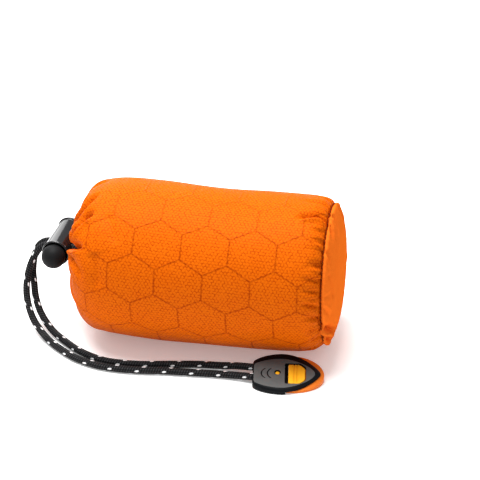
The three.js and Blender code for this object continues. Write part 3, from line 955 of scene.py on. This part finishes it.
def window_outline(shrink, rear_gap=0.0):
    """The whistle's window, with its two front corners cut off."""
    rear = WINDOW_REAR + shrink + rear_gap
    front = WINDOW_FRONT - shrink
    half = WINDOW_HALF - shrink
    corners = [
        (rear, -half),
        (front - WINDOW_CORNER, -half),
        (front, WINDOW_CORNER - half),
        (front, half - WINDOW_CORNER),
        (front - WINDOW_CORNER, half),
        (rear, half),
    ]
    loop = round_corners([corners[-1], *corners, corners[0]], 0.7)
    return [(x, y + FACE_SHIFT) for x, y in loop[1:-1]]


def crescent(name, centre):
    """A shallow curved groove, open towards the whistle's front."""
    outer = arc((centre, FACE_SHIFT), GROOVE_RADIUS, 122, 238, 16)
    inner = arc((centre + GROOVE_WIDTH, FACE_SHIFT), GROOVE_RADIUS, 238, 122, 16)
    return prism(name, outer + inner, WHISTLE_HEIGHT - GROOVE_DEPTH, WHISTLE_HEIGHT + 1)


def box_outline(rear, front, half):
    """Corners of a rectangle along the whistle's middle."""
    return [(rear, -half), (front, -half), (front, half), (rear, half)]


def place_whistle_piece(piece):
    piece.data.transform(turned_about(WHISTLE_KEEL_DEG, WHISTLE_TURN_DEG, WHISTLE_REAR))


def housing_front(gap, end):
    """Outline between the housing's stepped front, with a gap to it, and a straight end."""
    side, sill, half = HOUSING_LENGTH + gap, SILL_LENGTH + gap, SILL_HALF + gap
    past = WHISTLE_PAST_SIDE
    step = box_outline(side, sill, half)
    return [(end, -past), (side, -past), *step, (side, past), (end, past)]


def make_whistle_cover():
    """The black cover, with its window, sight hole and two thumb grooves."""
    name = "whistle_cover_moulding"
    cover = plate(name, COVER_OUTLINE, COVER_FAR_SIDE, COVER_SHOULDER, FACE_OUTLINE, WHISTLE_HEIGHT)
    tongue = box_outline(TONGUE_REAR, SILL_LENGTH + 1, TONGUE_HALF)
    cut_away(
        cover,
        prism("room_for_body", housing_front(0, WHISTLE_PAST_FRONT), WHISTLE_BELOW, COVER_UNDERSIDE),
        prism("room_for_tongue", tongue, 0.6, SILL_TOP - 0.4),
        prism("window", window_outline(0), SILL_TOP, WHISTLE_HEIGHT + 1),
        prism("sight_hole", arc(SIGHT_HOLE, SIGHT_HOLE_RADIUS, 0, 345, 23), 1.5, WHISTLE_HEIGHT + 1),
        *[crescent(name, centre) for name, centre in GROOVE_CENTRES.items()],
    )
    soften_edges(cover)
    # Painted highlight: the upturned flat face takes the lighter grey material, and the sloping sides stay
    # black.
    face_from = (WHISTLE_HEIGHT - FACE_TOP_LAYER) * MM
    for face in cover.data.polygons:
        face.material_index = int(face.center.z > face_from and face.normal.z > 0.9)
    place_whistle_piece(cover)
    return cover


def make_whistle_body():
    """The orange body: the plate past the cover's tip, the ribbed block in the window and the tongue."""
    body = plate("whistle_body_moulding", BODY_OUTLINE, BODY_FAR_SIDE, COVER_UNDERSIDE - FITTING_GAP)
    room = housing_front(FITTING_GAP, WHISTLE_BELOW)
    cut_away(body, prism("room_for_housing", room, WHISTLE_BELOW, 20))
    tongue = box_outline(TONGUE_REAR + FITTING_GAP, SILL_LENGTH + 1.5, TONGUE_HALF - FITTING_GAP)
    cut_away(
        body,
        prism("block", window_outline(WINDOW_GAP, BLOCK_REAR_GAP), SILL_TOP + 0.2, BLOCK_TOP),
        prism("plug", arc(SIGHT_HOLE, PLUG_RADIUS, 0, 340, 17), PLUG_FROM, PLUG_TOP),
        prism("tongue", tongue, TONGUE_FROM, SILL_TOP - 0.7),
        operation="UNION",
    )
    ribs = []
    for place, wide in BLOCK_RIBS:
        outline = box_outline(place, place + wide, WINDOW_HALF)
        ribs.append(prism("rib", outline, BLOCK_TOP - BLOCK_RIB_DEPTH, BLOCK_TOP + 1))
    cut_away(body, *ribs)
    soften_edges(body)
    # Painted highlight: faces higher than the cover's underside, the top of the block and of the plug, take
    # the lighter orange.
    for face in body.data.polygons:
        face.material_index = int(face.center.z > (COVER_UNDERSIDE + 0.2) * MM)
    place_whistle_piece(body)
    return body


class Nodes:
    """Adds nodes to one node tree; a value may be a number, a tuple or another node's output."""

    def __init__(self, tree):
        self.tree = tree

    def add(self, kind, settings=None, **values):
        node = self.tree.nodes.new(kind)
        for name, value in (settings or {}).items():
            setattr(node, name, value)
        for name, value in values.items():
            self.give(node.inputs[name.replace("_", " ")], value)
        return node

    def give(self, socket, value):
        if isinstance(value, bpy.types.NodeSocket):
            self.tree.links.new(value, socket)
        else:
            socket.default_value = value

    def math(self, operation, *values, clamp=False):
        node = self.tree.nodes.new("ShaderNodeMath")
        node.operation = operation
        node.use_clamp = clamp
        for socket, value in zip(node.inputs, values):
            self.give(socket, value)
        return node.outputs[0]

    def vector(self, operation, *values):
        node = self.tree.nodes.new("ShaderNodeVectorMath")
        node.operation = operation
        for socket, value in zip(node.inputs, values):
            self.give(socket, value)
        return node.outputs[0]

    def times(self, first, second):
        return self.math("MULTIPLY", first, second)

    def wave(self, value):
        """A row of bumps from 0 to 1, one for each whole number of the value."""
        return self.math("ABSOLUTE", self.math("SINE", self.times(value, math.pi)))

    def parts(self, vector):
        return self.add("ShaderNodeSeparateXYZ", Vector=vector).outputs

    def own_place(self):
        """A point's place in its piece's own space, in metres."""
        return self.add("ShaderNodeTexCoord").outputs["Object"]

    def noise(self, place, scale, detail, output=0, **values):
        node = self.add("ShaderNodeTexNoise", Vector=place, Scale=scale, Detail=detail, **values)
        return node.outputs[output]

    def blend(self, share, first, second):
        """One colour turning into another."""
        node = self.tree.nodes.new("ShaderNodeMix")
        node.data_type = "RGBA"
        self.give(node.inputs[0], share)
        self.give(node.inputs[6], first)
        self.give(node.inputs[7], second)
        return node.outputs[2]

    def slope(self, value, low, high, to_low, to_high):
        """A value eased from one range to another, and held at its ends."""
        node = self.tree.nodes.new("ShaderNodeMapRange")
        node.interpolation_type = "SMOOTHSTEP"
        for socket, item in zip(node.inputs, (value, low, high, to_low, to_high)):
            self.give(socket, item)
        return node.outputs[0]


def effect(name, takes, gives):
    """A shader node group with named sockets: its nodes, its input sockets and its output node."""
    tree = bpy.data.node_groups.new(name, "ShaderNodeTree")
    for socket, (kind, value) in takes.items():
        made = tree.interface.new_socket(socket, in_out="INPUT", socket_type=kind)
        if value is not None:
            made.default_value = value
    for socket, kind in gives.items():
        tree.interface.new_socket(socket, in_out="OUTPUT", socket_type=kind)
    nodes = Nodes(tree)
    return nodes, nodes.add("NodeGroupInput").outputs, nodes.add("NodeGroupOutput").inputs


FLOAT = "NodeSocketFloat"
VECTOR = "NodeSocketVector"


def hexagon_effect():
    """Hexagons with two sides across the first axis: a mask of their lines, and how far in a point is."""
    takes = {"Place": (VECTOR, None), "Size": (FLOAT, 10.0), "Line": (FLOAT, 0.5)}
    nodes, taken, given = effect("hexagon_cells", takes, {"Lines": FLOAT, "Inside": FLOAT})
    half_wide = nodes.times(taken["Size"], 0.5)
    half_high = nodes.times(taken["Size"], 0.5 * math.sqrt(3))
    half = nodes.add("ShaderNodeCombineXYZ", X=half_wide, Y=half_high, Z=1.0).outputs[0]
    opposite = nodes.vector("SCALE", half)
    opposite.node.inputs["Scale"].default_value = -1
    first = nodes.vector("WRAP", taken["Place"], half, opposite)
    second = nodes.vector("WRAP", nodes.vector("ADD", taken["Place"], half), half, opposite)
    reaches = []
    for parted in (nodes.parts(first), nodes.parts(second)):
        wide = nodes.math("ABSOLUTE", parted[0])
        high = nodes.times(nodes.math("ABSOLUTE", parted[1]), 0.5 * math.sqrt(3))
        reaches.append(nodes.math("MAXIMUM", wide, nodes.math("ADD", nodes.times(wide, 0.5), high)))
    to_line = nodes.math("SUBTRACT", half_wide, nodes.math("MINIMUM", *reaches))
    nodes.give(given["Lines"], nodes.slope(to_line, 0.0, taken["Line"], 1.0, 0.0))
    nodes.give(given["Inside"], nodes.math("DIVIDE", to_line, half_wide, clamp=True))
    return nodes.tree


def mottle_effect():
    """Cloudy unevenness of two sizes, about 0.5, over a piece's own space."""
    takes = {"Size": (FLOAT, 10.0), "Fine": (FLOAT, 0.3)}
    nodes, taken, given = effect("mottle", takes, {"Value": FLOAT})
    place = nodes.own_place()
    scale = nodes.math("DIVIDE", 1 / MM, taken["Size"])
    mixed = nodes.add("ShaderNodeMix", Factor=taken["Fine"])
    nodes.give(mixed.inputs[2], nodes.noise(place, scale, 3.0))
    nodes.give(mixed.inputs[3], nodes.noise(place, nodes.times(scale, 9.0), 2.0))
    nodes.give(given["Value"], mixed.outputs[0])
    return nodes.tree


def weave_effect():
    """Plain weave: the height of threads over and under, for a flat place and a thread pitch."""
    takes = {"Place": (VECTOR, None), "Pitch": (FLOAT, 0.4)}
    nodes, taken, given = effect("plain_weave", takes, {"Height": FLOAT})
    parted = nodes.parts(taken["Place"])
    waves = []
    for axis in (0, 1):
        turns = nodes.math("DIVIDE", nodes.times(parted[axis], math.pi), taken["Pitch"])
        waves.append(nodes.math("SINE", turns))
    crossed = nodes.times(*waves)
    nodes.give(given["Height"], nodes.math("MULTIPLY_ADD", crossed, 0.5, 0.5))
    return nodes.tree


def use(nodes, group, **values):
    """Places a node group in a material and gives its outputs."""
    node = nodes.tree.nodes.new("ShaderNodeGroup")
    node.node_tree = group
    for name, value in values.items():
        nodes.give(node.inputs[name], value)
    return node.outputs


def new_material(name, **settings):
    """A material with a Principled BSDF: its nodes and the shader."""
    material = bpy.data.materials.new(name)
    material.use_nodes = True
    material.node_tree.nodes.clear()
    nodes = Nodes(material.node_tree)
    shader = nodes.add("ShaderNodeBsdfPrincipled", **settings)
    nodes.add("ShaderNodeOutputMaterial", Surface=shader.outputs[0])
    return material, nodes, shader.inputs


def raise_surface(nodes, shader, height, depth, strength=1.0):
    """Lets a height from 0 to 1 stand this many millimetres proud."""
    bump = nodes.add("ShaderNodeBump", Height=height, Strength=strength, Distance=depth * MM)
    nodes.give(shader["Normal"], bump.outputs[0])


def flat_place(nodes):
    """A point's place on the flat cloth, in millimetres."""
    return nodes.add("ShaderNodeUVMap", {"uv_map": "flat"}).outputs[0]


def ripstop_material(effects):
    """Orange ripstop with large and small hexagons woven in."""
    material, nodes, shader = new_material("orange_ripstop", Roughness=0.55, Specular_IOR_Level=0.015)
    parted = nodes.parts(flat_place(nodes))
    along = nodes.math("SUBTRACT", parted[0], HEXAGON_START_X)
    round_it = nodes.math("MULTIPLY_ADD", parted[0], HEXAGON_SKEW, parted[1])
    pattern = nodes.add("ShaderNodeCombineXYZ", X=along, Y=round_it).outputs[0]
    wander = nodes.noise(pattern, 0.5, 1.0, "Color")
    wander = nodes.vector("MULTIPLY_ADD", wander, (0.5, 0.5, 0), pattern)
    large = use(nodes, effects["hexagons"], Place=wander, Size=HEXAGON, Line=HEXAGON_LINE)
    small = use(nodes, effects["hexagons"], Place=wander, Size=SMALL_HEXAGON, Line=SMALL_HEXAGON_LINE)
    patchy = nodes.slope(nodes.noise(pattern, 0.9, 2.0, Roughness=0.7), 0.36, 0.62, 0.05, 1.0)
    cloud = use(nodes, effects["mottle"], Size=7.0, Fine=0.35)["Value"]
    # Painted highlight: the large hexagon lines fade to 0.4 over the top and the far side, as if washed out
    # by the brightest light.
    top_light_fade = nodes.slope(parted[1], -42.0, -16.0, 0.4, 1.0)
    base = nodes.blend(cloud, (0.55, 0.084, 0.0010, 1), (0.62, 0.121, 0.0022, 1))
    cells = nodes.times(nodes.times(small["Lines"], patchy), 0.95)
    celled = nodes.blend(cells, base, (0.33, 0.033, 0.0004, 1))
    lines = nodes.times(large["Lines"], nodes.math("MULTIPLY_ADD", patchy, 0.6, 0.3))
    lined = nodes.blend(nodes.times(lines, top_light_fade), celled, (0.27, 0.028, 0.0004, 1))
    nodes.give(shader["Base Color"], lined)
    nodes.give(shader["Roughness"], nodes.slope(cloud, 0.2, 0.8, 0.42, 0.58))
    puffed = nodes.math("MULTIPLY_ADD", small["Inside"], 0.5, nodes.times(large["Lines"], 0.7))
    raise_surface(nodes, shader, puffed, 0.12)
    return material


def panel_material(effects):
    """Plain orange cloth of the base panel."""
    material, nodes, shader = new_material("orange_plain_cloth", Roughness=0.6, Specular_IOR_Level=0.0)
    cloud = use(nodes, effects["mottle"], Size=9.0, Fine=0.3)["Value"]
    base = nodes.blend(cloud, (0.69, 0.118, 0.009, 1), (0.77, 0.158, 0.014, 1))
    weave = use(nodes, effects["weave"], Place=flat_place(nodes), Pitch=0.45)["Height"]
    woven = nodes.blend(nodes.times(weave, 0.12), base, (0.40, 0.06, 0.002, 1))
    nodes.give(shader["Base Color"], woven)
    raise_surface(nodes, shader, weave, 0.04)
    return material


def cord_material(effects):
    """Black braid with a painted highlight on its yarn tops, and white reflective flecks that follow one
    yarn round the cord.
    """
    material, nodes, shader = new_material("black_braid", Roughness=0.7, Specular_IOR_Level=0.08)
    along, turn, _ = nodes.parts(flat_place(nodes))
    number = nodes.math("ROUND", nodes.math("DIVIDE", along, FLECK_SPACING))
    off_along = nodes.math("SUBTRACT", along, nodes.times(number, FLECK_SPACING))
    turned = nodes.math("SUBTRACT", turn, nodes.math("MULTIPLY_ADD", number, FLECK_TURN, FLECK_START))
    off_round = nodes.times(nodes.math("WRAP", turned, 0.5, -0.5), math.pi * CORD_DIAMETER)
    leaning = nodes.math("MULTIPLY_ADD", off_round, FLECK_LEAN, off_along)
    squares = []
    for off, size in ((leaning, FLECK_LENGTH), (off_round, FLECK_WIDTH)):
        share = nodes.math("ABSOLUTE", nodes.math("DIVIDE", off, size / 2))
        squares.append(nodes.math("POWER", share, 2.0))
    fleck = nodes.slope(nodes.math("ADD", *squares), 0.75, 1.15, 1.0, 0.0)
    fleck = nodes.times(fleck, nodes.math("GREATER_THAN", along, FLECKS_FROM))
    # Painted highlight: lighter grey strokes along the tops of the plaited yarns, over the black.
    leaned = nodes.math("MULTIPLY_ADD", turn, BRAID_HIGHLIGHT_LEAN, nodes.math("DIVIDE", along, BRAID_HIGHLIGHT_PITCH))
    across = nodes.math("POWER", nodes.wave(leaned), 2.5)
    rows = nodes.math("POWER", nodes.wave(nodes.times(turn, BRAID_YARNS)), 0.7)
    cloud = use(nodes, effects["mottle"], Size=2.0, Fine=0.5)["Value"]
    yarn_top_highlight = nodes.times(nodes.times(across, rows), nodes.slope(cloud, 0.3, 0.7, 0.35, 1.0))
    black = nodes.blend(yarn_top_highlight, (0.0012, 0.0012, 0.0015, 1), (0.062, 0.062, 0.065, 1))
    nodes.give(shader["Base Color"], nodes.blend(fleck, black, (0.80, 0.81, 0.82, 1)))
    nodes.give(shader["Roughness"], nodes.slope(fleck, 0.0, 1.0, 0.62, 0.35))
    raise_surface(nodes, shader, nodes.noise(nodes.own_place(), 9000.0, 2.0), 0.05, 0.6)
    return material


def plastic_material(effects, name):
    """Moulded plastic with a fine etched grain, from its row in PLASTICS."""
    dark, light, roughness, shine, grain = PLASTICS[name]
    material, nodes, shader = new_material(name, Specular_IOR_Level=shine)
    cloud = use(nodes, effects["mottle"], Size=5.0, Fine=0.45)["Value"]
    nodes.give(shader["Base Color"], nodes.blend(cloud, dark, light))
    nodes.give(shader["Roughness"], nodes.slope(cloud, 0.25, 0.75, roughness - 0.06, roughness + 0.06))
    raise_surface(nodes, shader, nodes.noise(nodes.own_place(), 5200.0, 2.0), grain)
    return material


def thread_material(effects):
    """Sewing thread, dark red-brown; its darkness is partly painted shade of the seam crease."""
    material, nodes, shader = new_material("dark_thread_painted_seam_shade", Roughness=0.8, Specular_IOR_Level=0.05)
    cloud = use(nodes, effects["mottle"], Size=1.5, Fine=0.5)["Value"]
    # Partly painted shade: the thread is darkened to stand for the shade in the seam's crease.
    nodes.give(shader["Base Color"], nodes.blend(cloud, (0.060, 0.010, 0.001, 1), (0.14, 0.022, 0.002, 1)))
    return material


def floor_material(effects):
    """Plain pale surface that glows a little, which keeps its shadows soft."""
    glow = {"Emission_Color": (1, 1, 1, 1), "Emission_Strength": FLOOR_GLOW}
    material, nodes, shader = new_material("pale_floor", Roughness=0.6, **glow)
    cloud = use(nodes, effects["mottle"], Size=160.0, Fine=0.2)["Value"]
    nodes.give(shader["Base Color"], nodes.blend(cloud, (0.90, 0.90, 0.90, 1), (0.92, 0.92, 0.92, 1)))
    return material


def make_floor():
    corners = [(x * FLOOR_HALF, y * FLOOR_HALF, 0) for x, y in ((-1, -1), (1, -1), (1, 1), (-1, 1))]
    floor = new_piece("floor", corners, [(0, 1, 2, 3)])
    return floor


def area_light(name, place, aim, size, power):
    data = bpy.data.lights.new(name, "AREA")
    data.shape = "DISK"
    data.size = size * MM
    data.energy = power
    aim_at(new_object(name, data), place, aim)


def make_light():
    """Soft studio light: a wide overhead panel, a lower one behind to the left, and a pale room."""
    for light in LIGHTS:
        area_light(*light)
    world = bpy.data.worlds.new("pale_room")
    world.use_nodes = True
    background = world.node_tree.nodes["Background"].inputs
    background["Color"].default_value = (1, 1, 1, 1)
    background["Strength"].default_value = ROOM_LIGHT
    bpy.context.scene.world = world
    bpy.context.scene.view_settings.view_transform = "Standard"


def finish_piece(piece, material, slot, body, *nodes):
    """Gives a piece its material and the body it rides on, and hides the nodes it stands for. Its slot is
    not used.
    """
    piece.data.materials.append(material)
    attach(piece, body)
    if nodes:
        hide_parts(*nodes)


make_camera()
near_cord, near_line = make_cord("cord_near_braid", CORD_NEAR_ROUTE)
far_cord, far_line = make_cord("cord_far_braid", CORD_FAR_ROUTE)

effects = {"hexagons": hexagon_effect(), "mottle": mottle_effect(), "weave": weave_effect()}
ripstop = ripstop_material(effects)
braid = cord_material(effects)
plastics = {name: plastic_material(effects, name) for name in PLASTICS}

barrel = make_barrel()
button = make_button()
whistle_cover = make_whistle_cover()
whistle_body = make_whistle_body()
finish_piece(near_cord, braid, "black_cord", "pack", "cord_near")
finish_piece(far_cord, braid, "black_cord", "pack", "cord_far")
finish_piece(barrel, plastics["black_gloss_plastic"], "black_plastic", "pack", "lock_barrel")
finish_piece(button, plastics["black_matte_plastic"], "black_plastic", "button", "lock_plunger")
finish_piece(whistle_cover, plastics["black_satin_plastic"], "black_plastic", "pack", "whistle_cover")
whistle_cover.data.materials.append(plastics["etched_face_with_painted_highlight"])
finish_piece(whistle_body, plastics["orange_plastic"], "orange_plastic", "pack", "whistle_body")
whistle_body.data.materials.append(plastics["orange_plastic_painted_highlight"])

sack = make_sack()
panel = make_base_panel()
stitches = make_stitches()
finish_piece(sack, ripstop, "orange_fabric", "pack", "sack_body")
finish_piece(panel, panel_material(effects), "orange_fabric", "pack", "base_panel")
finish_piece(stitches, thread_material(effects), "orange_fabric", "pack")

floor = make_floor()
floor.data.materials.append(floor_material(effects))
make_light()
